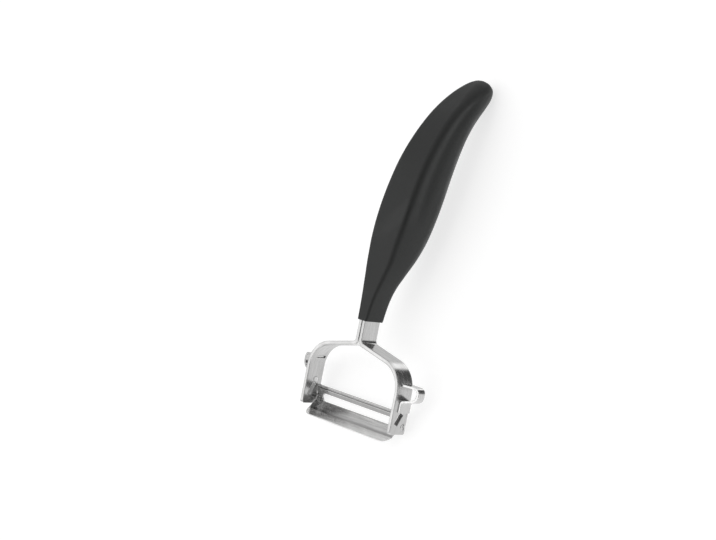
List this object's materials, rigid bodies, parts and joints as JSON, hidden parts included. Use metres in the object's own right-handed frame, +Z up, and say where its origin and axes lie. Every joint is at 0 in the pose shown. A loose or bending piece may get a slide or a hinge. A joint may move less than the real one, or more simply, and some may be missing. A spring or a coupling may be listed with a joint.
{
  "type": "vegetable peeler",
  "caption": "Hand peeler with a swivelling slotted blade between the arms of a bent steel bow, side loops for digging out eyes, and a curved moulded grip.",
  "frame": {"origin": "centre of the bounding box in X and Y, on the surface that the peeler lies on", "axes": "lying on its back: +X from the end of the grip to the blade, +Y along the blade to the right arm, +Z up, towards the front of the grip"},
  "size_m": [0.1932, 0.0842, 0.0354],
  "materials": {
    "grip_plastic": "black moulded plastic with a fine matt grain",
    "strap_steel": "satin stainless strip with bright rounded edges",
    "loop_steel": "satin stainless strip, a little brighter than the arms",
    "weld_steel": "pale smoothed weld metal",
    "blade_steel": "bright strip, ground along its length"
  },
  "bodies": {
    "frame": {"handle": "grip_plastic", "left_strap": "strap_steel", "right_strap": "strap_steel", "neck_weld": "weld_steel", "left_eye_loop": "loop_steel", "right_eye_loop": "loop_steel", "left_loop_plug": "weld_steel", "right_loop_plug": "weld_steel"},
    "blade": {"blade": "blade_steel"}
  },
  "joints": [
    {"name": "blade_swing", "type": "hinge", "parent": "frame", "child": "blade", "pos_m": [0.086, 0, 0.00277], "axis": [0, 1, 0], "range_deg": [-60, 15]}
  ]
}
